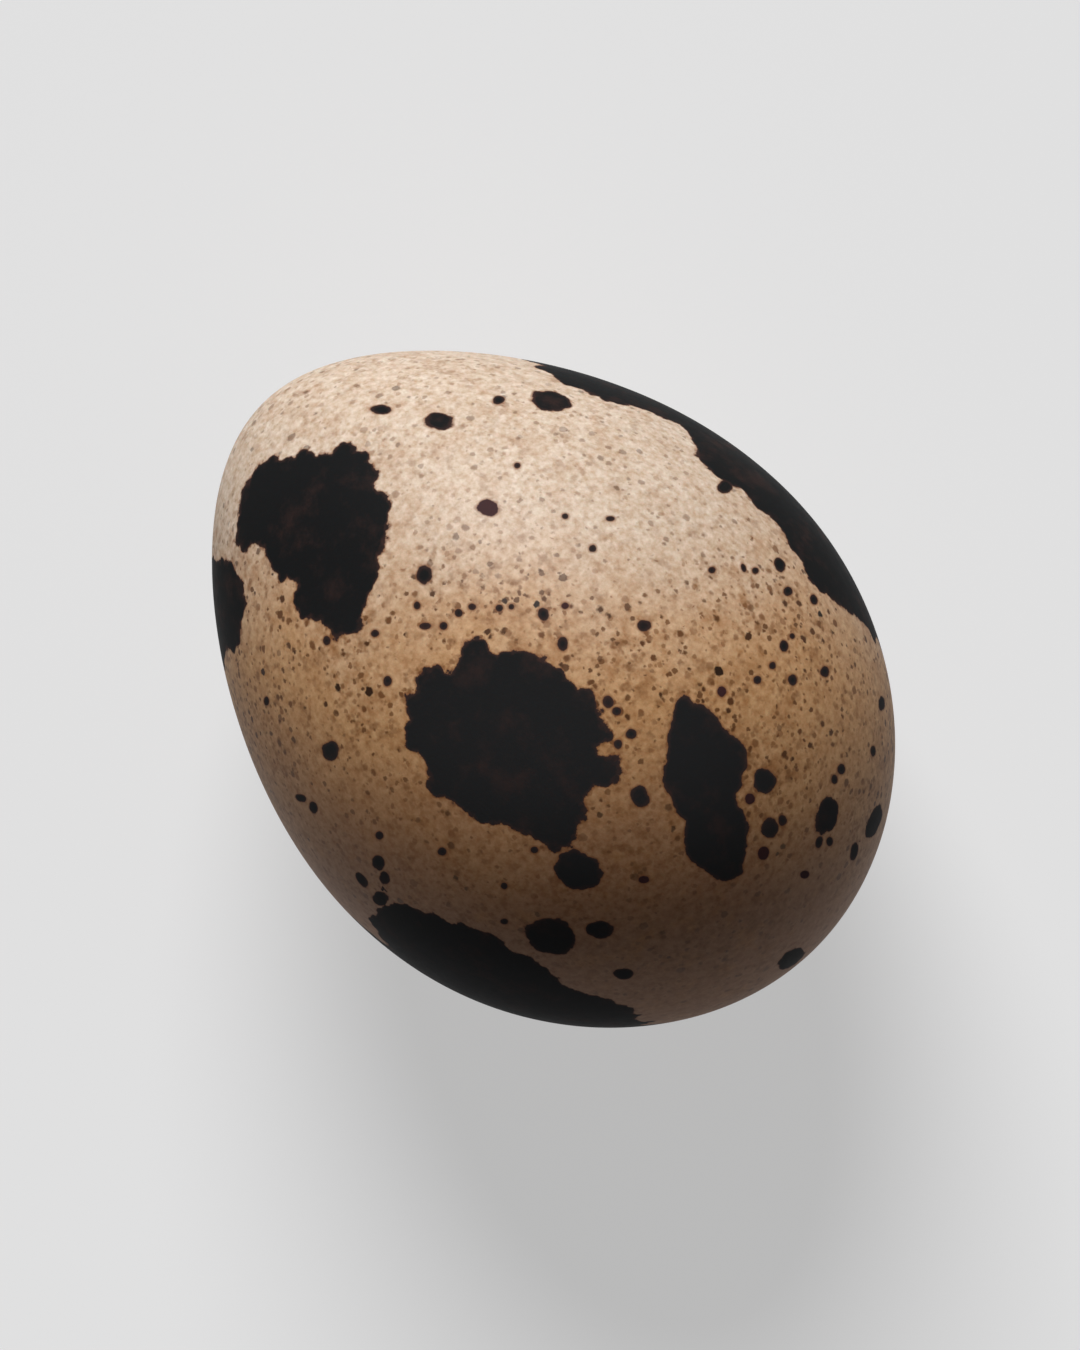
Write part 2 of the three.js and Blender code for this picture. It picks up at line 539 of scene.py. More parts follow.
SPOTS = (
    Spot(-6.7, 11.2, 0.85, 0.40),
    Spot(-4.25, 10.7, 1.3, 0.72),
    Spot(-1.75, 11.6, 0.55, 0.40),
    Spot(0.45, 11.6, 1.75, 0.85, -8),
    Spot(-2.15, 7.0, 0.95, 0.72, -10, Tone.UMBER),
    Spot(-4.85, 4.2, 0.66, 0.84),
    Spot(-3.4, 2.6, 0.36, 0.40),
    Spot(-2.85, 2.85, 0.38, 0.30),
    Spot(-4.8, 2.05, 0.60, 0.32),
    Spot(-4.05, 2.05, 0.34, 0.34),
    Spot(-6.9, 1.75, 0.36, 0.34),
    Spot(-5.15, 2.9, 0.30, 0.34),
    Spot(-1.2, 2.85, 0.25, 0.25),
    Spot(-1.7, 2.8, 0.30, 0.28),
    Spot(0.15, 2.55, 0.50, 0.60),
    Spot(-0.95, 8.8, 0.26, 0.26),
    Spot(-6.4, -0.25, 0.34, 0.44),
    Spot(-8.95, 1.45, 0.30, 0.40),
    Spot(7.8, 7.95, 0.62, 0.58),
    Spot(10.1, 4.65, 0.50, 0.60, 20),
    Spot(2.2, 5.3, 0.32, 0.32),
    Spot(4.35, 2.05, 0.55, 0.50),
    Spot(0.95, 1.3, 0.46, 0.58),
    Spot(1.05, 2.9, 0.34, 0.28, 0, Tone.UMBER),
    Spot(2.95, 6.55, 0.35, 0.22),
    Spot(1.05, 6.65, 0.30, 0.26),
    Spot(7.2, 4.4, 0.30, 0.26),
    Spot(9.05, 4.4, 0.30, 0.28),
    Spot(8.55, 4.5, 0.20, 0.36, 20),
    Spot(10.45, 3.55, 0.40, 0.40),
    Spot(11.55, 3.2, 0.33, 0.45, 20),
    Spot(10.25, 1.2, 0.40, 0.50),
    Spot(10.6, 1.65, 0.25, 0.27),
    Spot(9.75, 0.4, 0.30, 0.35),
    Spot(10.6, -0.2, 0.40, 0.45),
    Spot(9.1, -0.2, 0.35, 0.35),
    Spot(12.0, 0.15, 0.40, 0.50),
    Spot(7.6, -0.7, 0.40, 0.44, 0, Tone.UMBER),
    Spot(-8.8, -3.2, 0.78, 0.85),
    Spot(-10.1, -5.2, 0.50, 0.35, -20),
    Spot(-9.55, -5.6, 0.38, 0.55, 20),
    Spot(-6.8, -7.9, 0.50, 0.65, 20),
    Spot(-6.55, -8.55, 0.42, 0.60),
    Spot(-7.55, -8.65, 0.38, 0.80, 35),
    Spot(-6.75, -9.45, 0.70, 0.60),
    Spot(-6.75, -6.75, 0.35, 0.35),
    Spot(-4.1, -7.4, 0.38, 0.35),
    Spot(-0.25, -7.3, 0.33, 0.28),
    Spot(-1.5, -8.85, 0.30, 0.30),
    Spot(-1.5, -10.35, 0.35, 0.26),
    Spot(-11.55, -1.1, 0.27, 0.40),
    Spot(9.4, -4.45, 0.95, 1.15),
    Spot(12.1, -5.9, 1.0, 1.6, -15),
    Spot(14.2, -6.2, 0.6, 1.5, -20),
    Spot(13.3, -7.5, 0.35, 0.80, -10),
    Spot(11.75, -7.05, 0.33, 0.50, -20),
    Spot(12.2, -7.0, 0.30, 0.40),
    Spot(9.65, -6.45, 0.70, 0.90, -10),
    Spot(10.2, -6.1, 0.40, 0.45),
    Spot(9.4, -7.5, 0.50, 0.60, -30, Tone.UMBER),
    Spot(8.8, -5.2, 0.48, 0.48, 0, Tone.UMBER),
    Spot(12.7, -3.95, 0.38, 0.50),
    Spot(12.4, -4.4, 0.30, 0.40),
    Spot(14.1, -3.2, 0.24, 0.50),
    Spot(14.5, -1.2, 0.30, 0.60),
    Spot(4.15, -5.1, 0.82, 0.92, 30),
    Spot(3.8, -2.45, 0.46, 0.44),
    Spot(3.25, -2.9, 0.35, 0.40),
    Spot(3.2, -1.5, 0.40, 0.35),
    Spot(2.85, -1.1, 0.45, 0.55, 20),
    Spot(4.35, -8.55, 0.45, 0.35, 0, Tone.UMBER),
    Spot(1.6, -8.2, 2.0, 1.65, -20),
    Spot(0.45, -11.0, 2.2, 1.55, -15),
    Spot(2.5, -10.7, 1.2, 0.76, -5),
    Spot(3.5, -12.6, 0.86, 0.50),
    Spot(11.15, -8.4, 0.40, 0.33, 0, Tone.UMBER),
    Spot(10.7, -12.05, 1.3, 0.7, 35),
)


@dataclass(frozen=True)
class Underside:
    """The markings of the half that the egg lies on, made by chance in the same style."""

    shape: EggShape
    seed: int = 11
    # Each patch's place along and round the egg, then its length, its slimness and its turn.
    patches: tuple[tuple[float, float, float, float, float], ...] = (
        (5.6, -4.8, 6.0, 0.72, 35.0),
        (-4.6, 3.4, 6.4, 0.60, 110.0),
        (-6.4, -9.6, 4.6, 0.70, 150.0),
        (4.2, 9.6, 4.4, 0.62, 60.0),
        (12.2, 3.0, 4.0, 0.75, 20.0),
        (-12.3, -6.0, 3.6, 0.8, 80.0),
    )
    corners: int = 44
    waves: range = range(2, 9)  # the waves round a patch's outline
    swell: float = 0.20  # how far they swell it, as a share of its size, over the wave's number
    raggedness: float = 1.1
    spot_count: int = 110
    spot_reach: tuple[float, float] = (0.94, 0.95)  # how far spots go along and round the half
    smallest_spot: float = 0.26
    largest_spot: float = 1.6
    slimmest_spot: float = 0.7  # its height over its width
    tallest_spot: float = 1.1
    umber_share: float = 0.12

    def blotches(self) -> list[Blotch]:
        """Grows an uneven outline round each patch's middle."""
        chance = np.random.default_rng(self.seed)
        grown = []
        for number, (along, around, length, slimness, turn_deg) in enumerate(self.patches):
            angles = np.linspace(0, 2 * math.pi, self.corners, endpoint=False)
            swell = np.ones_like(angles)
            for wave in self.waves:
                depth = chance.normal(0, self.swell / wave)
                swell += depth * np.cos(wave * angles + chance.uniform(0, 7))
            oval = np.column_stack([np.cos(angles), np.sin(angles) * slimness])
            c, s = math.cos(math.radians(turn_deg)), math.sin(math.radians(turn_deg))
            corners = (oval * swell[:, None] * length / 2) @ np.array([[c, s], [-s, c]])
            corners[:, 1] *= self.shape.width / 2 / self.shape.radius(np.array(along))
            outline = tuple(map(tuple, corners + (along, around)))
            name = f"underside_patch_{number}"
            grown.append(Blotch(name, outline, View.ROLLED_OUT, self.raggedness))
        return grown

    def spots(self) -> list[Spot]:
        """Scatters spots of mixed sizes over the half."""
        chance = np.random.default_rng(self.seed + 1)
        along_reach, round_reach = self.spot_reach
        made = []
        for _ in range(self.spot_count):
            station = chance.uniform(-along_reach, along_reach)
            around = chance.uniform(-round_reach, round_reach) * self.shape.width * math.pi / 4
            width = self.smallest_spot * (1 + chance.exponential())
            width = min(width, self.largest_spot)
            along = self.shape.middle_x + station * self.shape.length / 2
            stretch = self.shape.width / 2 / float(self.shape.radius(np.array(along)))
            height = width * chance.uniform(self.slimmest_spot, self.tallest_spot) * stretch
            tone = Tone.UMBER if chance.uniform() < self.umber_share else Tone.BLACK
            made.append(Spot(along, around, width, height, 0.0, tone, View.ROLLED_OUT))
        return made


@dataclass(frozen=True)
class SpotPlane:
    """A spot as it lies on the shell: its centre, and the two ways across it.

    A way across is scaled so that its product with the step from the centre is 1 at the rim.
    """

    centre: np.ndarray
    across: np.ndarray
    along: np.ndarray
    mean_radius: float

    @classmethod
    def of(cls, spot: Spot, chart: Chart) -> "SpotPlane":
        """Lays a spot in the plane that touches the shell at its middle."""
        centre, ways = chart.touch_plane((spot.across, spot.up))
        c, s = math.cos(math.radians(spot.turn_deg)), math.sin(math.radians(spot.turn_deg))
        half_sizes = np.array([[spot.width / 2], [spot.height / 2]])
        rims = half_sizes * (np.array([[c, s], [-s, c]]) @ ways)
        duals = np.linalg.pinv(rims).T
        lengths = np.linalg.norm(rims, axis=1)
        return cls(centre, duals[0], duals[1], float(np.sqrt(lengths.prod())))

    def place(self, points: np.ndarray) -> np.ndarray:
        """Where points lie on the spot, as (across, along, mean radius). The rim is 1 away."""
        step = points - self.centre
        radii = np.full(len(points), self.mean_radius)
        return np.column_stack([step @ self.across, step @ self.along, radii])

    def gap_to(self, other: "SpotPlane") -> float:
        """About how far this spot's rim is from another's."""
        between = float(np.linalg.norm(self.centre - other.centre))
        return between - self.mean_radius - other.mean_radius


@dataclass
class Markings:
    """Every marking on the egg, as values at the points of its mesh."""

    charts: dict[View, Chart]
    blotches: Sequence[Blotch]
    spots: Sequence[Spot]
    reach: float = 1.5  # how far outside a marking its distance is kept
    clearance: float = 0.6  # between the rims of two spots of one layer

    def measure(self, points: np.ndarray) -> dict[str, np.ndarray]:
        """Measures the markings at the points of the shell.

        Args:
            points: The shell's points, in millimetres.

        Returns:
            The values at each point, by the attribute that keeps them.
        """
        values = self._measure_blotches(points)
        for layer, planes in self._layered_spots().items():
            values |= self._measure_spots(points, layer, planes)
        return values

    def _measure_blotches(self, points: np.ndarray) -> dict[str, np.ndarray]:
        """The distance to the nearest blotch's edge, below zero inside it, and its raggedness."""
        flat = {view: chart.flatten(points) for view, chart in self.charts.items()}
        edge = np.full(len(points), self.reach)
        raggedness = np.zeros(len(points))
        for blotch in self.blotches:
            outline = np.array(blotch.outline)
            pieces = self.charts[blotch.view].lift_outline(outline)
            low, high = pieces.min(axis=(0, 1)) - self.reach, pieces.max(axis=(0, 1)) + self.reach
            inside = inside_outline(flat[blotch.view], outline)
            near = np.all((points > low) & (points < high), axis=1) | inside
            gap = distance_to_pieces(points[near], pieces)
            signed = np.where(inside[near], -gap, gap)
            closer = signed < edge[near]
            places = np.flatnonzero(near)[closer]
            edge[places] = signed[closer]
            raggedness[places] = blotch.raggedness
            log.debug("%s: %d points in reach", blotch.name, len(places))
        return {PATCH_EDGE: edge, PATCH_RAGGEDNESS: raggedness}

    def _layered_spots(self) -> dict[SpotLayer, list[SpotPlane]]:
        """Puts each spot in the first layer of its tone that has room for it."""
        layered: dict[SpotLayer, list[SpotPlane]] = {layer: [] for layer in SPOT_LAYERS}
        for spot in self.spots:
            plane = SpotPlane.of(spot, self.charts[spot.view])
            choices = [layer for layer in SPOT_LAYERS if layer.tone is spot.tone]
            roomy = [
                layer for layer in choices
                if all(plane.gap_to(other) > self.clearance for other in layered[layer])
            ]
            if not roomy:
                log.warning("no layer has room for %s", spot)
            layered[(roomy or choices[-1:])[0]].append(plane)
        return layered

    def _measure_spots(
        self, points: np.ndarray, layer: SpotLayer, planes: Iterable[SpotPlane]
    ) -> dict[str, np.ndarray]:
        """Where each point lies on the spot nearest to it, and the gap to its rim."""
        place = np.zeros((len(points), 3))
        gap = np.full(len(points), self.reach)
        for plane in planes:
            far = self.reach + 2 * plane.mean_radius
            near = np.flatnonzero(np.linalg.norm(points - plane.centre, axis=1) < far)
            here = plane.place(points[near])
            signed = (np.hypot(here[:, 0], here[:, 1]) - 1) * plane.mean_radius
            closer = signed < gap[near]
            place[near[closer]] = here[closer]
            gap[near[closer]] = signed[closer]
        return {layer.place: place, layer.gap: gap}


# ---------------------------------------------------------------------------------------------
# The shell's material
# ---------------------------------------------------------------------------------------------


@dataclass(frozen=True)
class Cloud:
    """A soft brown cloudiness of the shell, seen where a noise is above a level."""

    colour: Colour
    strength: float
    size: float
    roughness: float
    detail: float
    start: float
    full: float


@dataclass(frozen=True)
class FreckleLayer:
    """One size of freckle, scattered all over the shell."""

    spacing: float
    smallest: float
    largest: float
    share: float
    strength: float
    light: Colour
    dark: Colour
    offset: float
    softness: float


@dataclass(frozen=True)
class Zones:
    """How the shell's colour and freckles change from the level sheet's bottom to its top.

    A pair of numbers is where a change starts and where it is full, counted up the sheet.
    """

    wave_size: float = 7.0
    wave_depth: float = 9.0
    # Low on the sheet the shell turns a darker brown: partly its own tone, partly painted shade.
    shade_to_tan: tuple[float, float] = (-9.0, 1.5)
    tan_to_cream: tuple[float, float] = (-0.5, 10.5)
    # The black is painted lighter low on the sheet, where it lies in shade: painted light.
    pigment_painted_light_fades: tuple[float, float] = (-6.0, 7.0)
    freckles_gain: tuple[float, float] = (-8.0, 0.0)
    faintest: float = 0.55  # the freckles' strength in the painted shade and in the cream, as a share
    fewest: float = 0.5  # how many there are in the cream, as a share
    crowd_size: float = 4.0
    least_crowded: float = 0.65
    # The lower half is painted paler: painted light on its shaded side, which also keeps the
    # painted shade off it.
    painted_light_heights: tuple[float, float] = (14.5, 6.0)  # heights, over which it gets paler below
    painted_light_by: float = 6.5


@dataclass(frozen=True)
class RaggedEdge:
    """How a marking's edge is broken up, in millimetres."""

    lobe_size: float = 0.55
    lobe_depth: float = 0.32
    fray_size: float = 0.22
    fray_depth: float = 0.24
    blur: float = 0.025
    rim_width: float = 0.12
    rim_strength: float = 0.7
    spot_raggedness: float = 1.2  # for each millimetre of a spot's radius
    most_on_spots: float = 0.8
    gap_slack: float = 0.14  # how much the gap to a spot is trusted less than the distance


@dataclass(frozen=True)
class Relief:
    """The shell's fine relief: grain, pores and raised pigment."""

    depth: float = 0.02
    strength: float = 0.35
    grain_size: float = 0.16
    pores_per_mm: float = 2.6
    pore_radius: float = 0.16  # as a share of the pores' spacing
    pore_depth: float = 0.6  # as a share of the depth
    pigment_rise: float = 0.8  # as a share of the depth


@dataclass(frozen=True)
class ShellFinish:
    """The colours and sheen of the shell."""

    cream: Colour = (0.575, 0.45, 0.345)
    tan: Colour = (0.50, 0.275, 0.125)
    # A darker brown, partly the shell's own tone and partly painted shade.
    brown_and_shade: Colour = (0.29, 0.145, 0.075)
    rim: Colour = (0.20, 0.075, 0.03)
    pigment: Colour = (0.0105, 0.0108, 0.0112)
    # A lighter black for the pigment low on the sheet: painted light in the shade.
    pigment_painted_lighter: Colour = (0.023, 0.023, 0.024)
    umber: Colour = (0.048, 0.021, 0.022)
    sand: Colour = (0.95, 1.35, 1.8)  # how much fine sand varies red, green and blue
    sand_size: float = 0.32
    shell_roughness: float = 0.55
    roughness_change: float = 0.16
    pigment_roughness: float = 0.45
    shell_sheen: float = 0.40
    pigment_sheen: float = 0.045
    coat_roughness: float = 0.45
    coat_ior: float = 1.5
    body_ior: float = 1.03  # the coat alone gives the sheen
    translucency: float = 0.08
    light_depth: float = 0.4  # how deep light goes into the shell
    thin_width: float = 0.2  # of the pigment's edge, where it is thin and browner
    thin_strength: float = 0.35
    zones: Zones = Zones()
    edge: RaggedEdge = RaggedEdge()
    relief: Relief = Relief()
    clouds: tuple[Cloud, ...] = (
        Cloud(
            colour=(0.33, 0.155, 0.06), strength=0.7, size=1.2, roughness=0.65, detail=3.0,
            start=0.48, full=0.70,
        ),
        Cloud(
            colour=(0.20, 0.085, 0.030), strength=0.75, size=0.55, roughness=0.6, detail=2.0,
            start=0.50, full=0.72,
        ),
    )
    pigment_cloud: Cloud = Cloud(
        colour=(0.085, 0.038, 0.030), strength=0.22, size=1.6, roughness=0.65, detail=4.0,
        start=0.48, full=0.75,
    )
    freckles: tuple[FreckleLayer, ...] = (
        FreckleLayer(
            spacing=0.31, smallest=0.060, largest=0.14, share=0.85, strength=0.90, softness=0.035,
            light=(0.21, 0.09, 0.032), dark=(0.10, 0.04, 0.015), offset=3.1,
        ),
        FreckleLayer(
            spacing=0.50, smallest=0.080, largest=0.19, share=0.85, strength=1.0, softness=0.05,
            light=(0.17, 0.066, 0.022), dark=(0.07, 0.028, 0.011), offset=17.7,
        ),
        FreckleLayer(
            spacing=0.90, smallest=0.095, largest=0.21, share=0.60, strength=1.0, softness=0.035,
            light=(0.09, 0.034, 0.013), dark=(0.018, 0.010, 0.006), offset=41.3,
        ),
    )


class ShellMaterial:
    """Builds the shell's material from its finish."""

    def __init__(self, finish: ShellFinish) -> None:
        """Keeps the finish and makes the groups that the material places."""
        self.finish = finish
        self.freckle_group = self._freckle_group()
        self.edge_group = self._edge_group()

    @staticmethod
    def _freckle_group() -> ShaderGroup:
        """Round freckles of mixed sizes, as a mask and a random shade."""
        numbers = ("Spacing", "Smallest", "Largest", "Share", "Softness", "Offset")
        inputs = {"Vector": "Vector", **{name: "Float" for name in numbers}}
        group = ShaderGroup("Freckles", inputs, {"Mask": "Float", "Shade": "Float"})
        g, given = group.graph, group.given
        shifted = g.vector_math("ADD", given["Vector"], given["Offset"])
        swirl = g.noise(shifted, 0.20, 2.0).outputs["Color"]
        warp = g.vector_math("SUBTRACT", swirl, (0.5, 0.5, 0.5))
        bent = g.vector_math("ADD", shifted, g.scaled(warp, 0.19))
        cell = g.node(
            "ShaderNodeTexVoronoi",
            {"Vector": g.scaled(bent, g.math("DIVIDE", 1.0, given["Spacing"])), "Scale": 1.0},
        )
        drawn = g.node("ShaderNodeSeparateColor", {0: cell.outputs["Color"]}).outputs
        gap = g.math("MULTIPLY", cell.outputs["Distance"], given["Spacing"])
        spread = g.math("SUBTRACT", given["Largest"], given["Smallest"])
        radius = g.math("MULTIPLY_ADD", g.math("POWER", drawn[1], 2.0), spread, given["Smallest"])
        outer = g.math("ADD", radius, given["Softness"])
        inner = g.math("SUBTRACT", radius, given["Softness"])
        dot = g.ramp(gap, outer, inner)
        kept = g.math("LESS_THAN", drawn[0], given["Share"])
        group.result("Mask", g.math("MULTIPLY", dot, kept))
        group.result("Shade", drawn[2])
        return group

    @staticmethod
    def _edge_group() -> ShaderGroup:
        """Makes a marking's smooth edge ragged, with small round lobes and finer fraying."""
        group = ShaderGroup(
            "Ragged edge",
            {"Vector": "Vector", "Distance": "Float", "Lobe size": "Float", "Lobe depth": "Float",
             "Fray size": "Float", "Fray depth": "Float"},
            {"Distance": "Float"},
        )
        g, given = group.graph, group.given
        lobe_place = g.scaled(given["Vector"], g.math("DIVIDE", 1.0, given["Lobe size"]))
        cell = g.node("ShaderNodeTexVoronoi", {"Vector": lobe_place, "Scale": 1.0})
        fray_place = g.scaled(given["Vector"], g.math("DIVIDE", 1.0, given["Fray size"]))
        fray = g.wander(fray_place, 1.0, 3.0, 0.6)
        lobes = g.math("SUBTRACT", cell.outputs["Distance"], 0.45)
        lobed = g.math("MULTIPLY_ADD", lobes, given["Lobe depth"], given["Distance"])
        frayed = g.math("MULTIPLY_ADD", fray, given["Fray depth"], lobed)
        group.result("Distance", frayed)
        return group

    def build(self) -> bpy.types.Material:
        """Makes the material.

        Returns:
            A material that reads the object's coordinates and the shell's own attributes.
        """
        material = bpy.data.materials.new("speckled_eggshell")
        material.use_nodes = True
        g = Graph(material.node_tree)
        finish = self.finish
        place = self._place(g)
        umber = self._spot_edge(g, place, Tone.UMBER)
        black = g.math("MINIMUM", self._patch_edge(g, place), self._spot_edge(g, place, Tone.BLACK))
        edge = g.math("MINIMUM", umber, black)
        solid = g.ramp(edge, finish.edge.blur, -finish.edge.blur)
        rim = g.math("MULTIPLY", g.ramp(edge, finish.edge.rim_width, 0.0), finish.edge.rim_strength)
        rimmed = g.mix(rim, self._ground(g, place), finish.rim)
        colour = g.mix(solid, rimmed, self._pigment(g, place, black))
        grain = g.wander(place, 0.5, 3.0)
        dullness = g.math("MULTIPLY_ADD", grain, finish.roughness_change, finish.shell_roughness)
        change = finish.pigment_roughness - finish.shell_roughness
        roughness = g.math("MULTIPLY_ADD", solid, change, dullness)
        change = finish.pigment_sheen - finish.shell_sheen
        coat = g.math("MULTIPLY_ADD", solid, change, finish.shell_sheen)
        surface = g.node(
            "ShaderNodeBsdfPrincipled",
            {"Base Color": colour, "Roughness": roughness, "Normal": self._relief(g, place, solid),
             "IOR": finish.body_ior, "Coat Weight": coat, "Coat Roughness": finish.coat_roughness,
             "Coat IOR": finish.coat_ior, "Subsurface Weight": finish.translucency,
             "Subsurface Scale": finish.light_depth * MM},
        )
        g.node("ShaderNodeOutputMaterial", {"Surface": surface.outputs[0]})
        return material

    @staticmethod
    def _place(g: Graph) -> bpy.types.NodeSocket:
        """The object's coordinates, in millimetres."""
        coordinates = g.node("ShaderNodeTexCoord").outputs["Object"]
        mapping = g.node("ShaderNodeMapping", {"Vector": coordinates, "Scale": (1 / MM,) * 3})
        return mapping.outputs[0]

    @staticmethod
    def _turned(g: Graph, place: Any) -> bpy.types.NodeSocket:
        """A place as seen on the level sheet: right, up and height."""
        turn = (0.0, 0.0, -SHEET_TURN)
        return g.node("ShaderNodeMapping", {"Vector": place, "Rotation": turn}).outputs[0]

    def _patch_edge(self, g: Graph, place: Any) -> bpy.types.NodeSocket:
        """The distance to a large patch's ragged edge, below zero inside it."""
        return self._ragged(g, place, g.attribute(PATCH_EDGE), g.attribute(PATCH_RAGGEDNESS))

    def _spot_edge(self, g: Graph, place: Any, tone: Tone) -> bpy.types.NodeSocket:
        """The distance to the ragged edge of a spot of one tone, below zero inside it."""
        edge = self.finish.edge
        edges = []
        for layer in (layer for layer in SPOT_LAYERS if layer.tone is tone):
            across, along, radius = g.node(
                "ShaderNodeSeparateXYZ", {0: g.attribute(layer.place, "Vector")}
            ).outputs
            square = g.math("MULTIPLY_ADD", across, across, g.math("MULTIPLY", along, along))
            from_rim = g.math("SUBTRACT", g.math("SQRT", square), 1.0)
            distance = g.math("MULTIPLY", from_rim, radius)
            # Between two spots the mesh blends their places, and there the gap rules a spot out.
            gap = g.math("SUBTRACT", g.attribute(layer.gap), edge.gap_slack)
            distance = g.math("MAXIMUM", distance, gap)
            raggedness = g.math("MULTIPLY", radius, edge.spot_raggedness)
            raggedness = g.math("MINIMUM", raggedness, edge.most_on_spots)
            edges.append(self._ragged(g, place, distance, raggedness))
        return reduce(lambda nearest, other: g.math("MINIMUM", nearest, other), edges)

    def _ragged(self, g: Graph, place: Any, distance: Any, raggedness: Any) -> bpy.types.NodeSocket:
        """A distance to an edge, with the edge made ragged."""
        edge = self.finish.edge
        return self.edge_group.use(
            g, Vector=place, Distance=distance, Lobe_size=edge.lobe_size, Fray_size=edge.fray_size,
            Lobe_depth=g.math("MULTIPLY", raggedness, edge.lobe_depth),
            Fray_depth=g.math("MULTIPLY", raggedness, edge.fray_depth),
        )["Distance"]

    def _ground(self, g: Graph, place: Any) -> bpy.types.NodeSocket:
        """The shell's colour, with its freckles, and painted shade toward the sheet's bottom."""
        finish, zones = self.finish, self.finish.zones
        level = self._level(g, place)
        pale = g.ramp(level, *zones.tan_to_cream)
        # Low on the sheet, the colour turns to a darker brown: partly its own tone, partly painted
        # shade.
        colour = g.mix(g.ramp(level, *zones.shade_to_tan), finish.brown_and_shade, finish.tan)
        colour = g.mix(pale, colour, finish.cream)
        crowd = g.noise(place, zones.crowd_size, 2.0).outputs[0]
        density = g.ramp(crowd, 0.35, 0.65, zones.least_crowded, 1.0)
        density = g.math("MULTIPLY", density, g.ramp(pale, 0.15, 1.0, 1.0, zones.fewest))
        for cloud in finish.clouds:
            noise = g.noise(place, cloud.size, cloud.detail, cloud.roughness).outputs[0]
            mask = g.math("MULTIPLY", g.ramp(noise, cloud.start, cloud.full), density)
            colour = g.mix(g.math("MULTIPLY", mask, cloud.strength), colour, cloud.colour)
        elsewhere = g.vector_math("ADD", place, (7.3, 1.9, 4.1))
        sand = g.scaled(finish.sand, g.wander(elsewhere, finish.sand_size, 3.0, 0.65))
        colour = g.vector_math("MULTIPLY", colour, g.vector_math("ADD", sand, (1.0, 1.0, 1.0)))
        in_cream = g.ramp(pale, 0.35, 1.0, 1.0, zones.faintest)
        # The freckles are fainter in the painted shade and in the cream.
        in_shade = g.ramp(level, *zones.freckles_gain, zones.faintest, 1.0)
        return self._freckled(g, place, colour, density, g.math("MULTIPLY", in_cream, in_shade))

    def _level(self, g: Graph, place: Any) -> bpy.types.NodeSocket:
        """How far up the level sheet a place counts for its colour and painted shade, in cloudy
        waves.
        """
        zones = self.finish.zones
        _, up, height = g.node("ShaderNodeSeparateXYZ", {0: self._turned(g, place)}).outputs
        wave = g.wander(place, zones.wave_size, 3.0)
        wavy = g.math("MULTIPLY_ADD", wave, zones.wave_depth, up)
        # The level rises on the lower half, which is painted paler: painted light on the side in
        # shade.
        return g.math("ADD", wavy, g.ramp(height, *zones.painted_light_heights, 0.0, zones.painted_light_by))

    def _freckled(
        self, g: Graph, place: Any, colour: Any, density: Any, strength: Any
    ) -> bpy.types.NodeSocket:
        """Adds the layers of freckles to a colour.

        Args:
            g: The material's tree.
            place: The place on the shell, in millimetres.
            colour: The shell's colour without freckles.
            density: How close the freckles lie, from 0 to 1.
            strength: How strong they are, from 0 to 1.

        Returns:
            The colour with its freckles.
        """
        for layer in self.finish.freckles:
            dots = self.freckle_group.use(
                g, Vector=place, Spacing=layer.spacing, Smallest=layer.smallest,
                Largest=layer.largest, Share=g.math("MULTIPLY", density, layer.share),
                Softness=layer.softness, Offset=layer.offset,
            )
            depth = g.ramp(dots["Shade"], 0.0, 0.8, 0.5 * layer.strength, layer.strength)
            depth = g.math("MULTIPLY", depth, strength)
            tint = g.mix(g.ramp(dots["Shade"], 0.4, 1.0), layer.light, layer.dark)
            colour = g.mix(g.math("MULTIPLY", dots["Mask"], depth), colour, tint)
        return colour

    def _pigment(self, g: Graph, place: Any, black: Any) -> bpy.types.NodeSocket:
        """Markings' colour: umber, or black with brown clouds, a browner edge and painted light."""
        finish, brown = self.finish, self.finish.pigment_cloud
        noise = g.noise(place, brown.size, brown.detail, brown.roughness).outputs[0]
        cloud = g.ramp(noise, brown.start, brown.full, 0.0, brown.strength)
        thin = g.ramp(black, -finish.thin_width, 0.0, 0.0, finish.thin_strength)
        up = g.node("ShaderNodeSeparateXYZ", {0: self._turned(g, place)}).outputs[1]
        # Low on the sheet the black is painted lighter: painted light where it lies in shade.
        painted_light_gone = g.ramp(up, *finish.zones.pigment_painted_light_fades)
        black_here = g.mix(painted_light_gone, finish.pigment_painted_lighter, finish.pigment)
        dark = g.mix(g.math("ADD", cloud, thin), black_here, brown.colour)
        return g.mix(g.ramp(black, 0.02, -0.02), finish.umber, dark)

    def _relief(self, g: Graph, place: Any, solid: Any) -> bpy.types.NodeSocket:
        """The fine relief of the shell: grain, pores and slightly raised pigment."""
        relief = self.finish.relief
        grain = g.noise(place, relief.grain_size, 3.0, 0.6).outputs[0]
        cells = {"Vector": place, "Scale": relief.pores_per_mm}
        pores = g.node("ShaderNodeTexVoronoi", cells).outputs["Distance"]
        pits = g.ramp(pores, 0.0, relief.pore_radius, -relief.pore_depth, 0.0)
        raised = g.math("MULTIPLY", solid, relief.pigment_rise)
        height = g.math("ADD", g.math("ADD", grain, pits), raised)
        return g.node(
            "ShaderNodeBump",
            {"Strength": relief.strength, "Distance": relief.depth * MM, "Height": height},
        ).outputs[0]


# ---------------------------------------------------------------------------------------------
# The egg
# ---------------------------------------------------------------------------------------------


